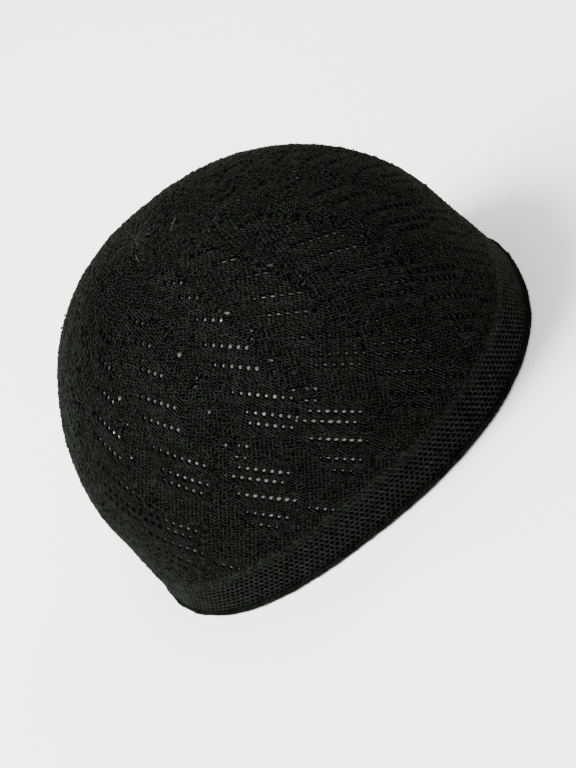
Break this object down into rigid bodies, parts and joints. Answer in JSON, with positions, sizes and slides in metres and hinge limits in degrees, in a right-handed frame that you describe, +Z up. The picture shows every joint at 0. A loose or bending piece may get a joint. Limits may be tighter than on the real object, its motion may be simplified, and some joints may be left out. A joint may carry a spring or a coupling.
{
  "type": "knitted kufi cap",
  "caption": "Rounded brimless knitted cap with slanting rows of eyelets in its crown, a mesh-knit headband and a thin rolled lower edge.",
  "frame": {"origin": "on the surface that the cap stands on, under the middle of the cap", "axes": "+X along the cap's length, +Y across it, +Z up from the rim to the crown"},
  "size_m": [0.19, 0.164, 0.1208],
  "materials": {
    "crown_knit": "matt black fine-gauge cotton knit with rows of eyelets",
    "band_knit": "matt black mesh knit with small staggered holes",
    "edge_yarn": "matt black rolled knit edge"
  },
  "bodies": {
    "root": {"crown": "crown_knit", "band": "band_knit", "edge_roll": "edge_yarn"}
  },
  "joints": []
}
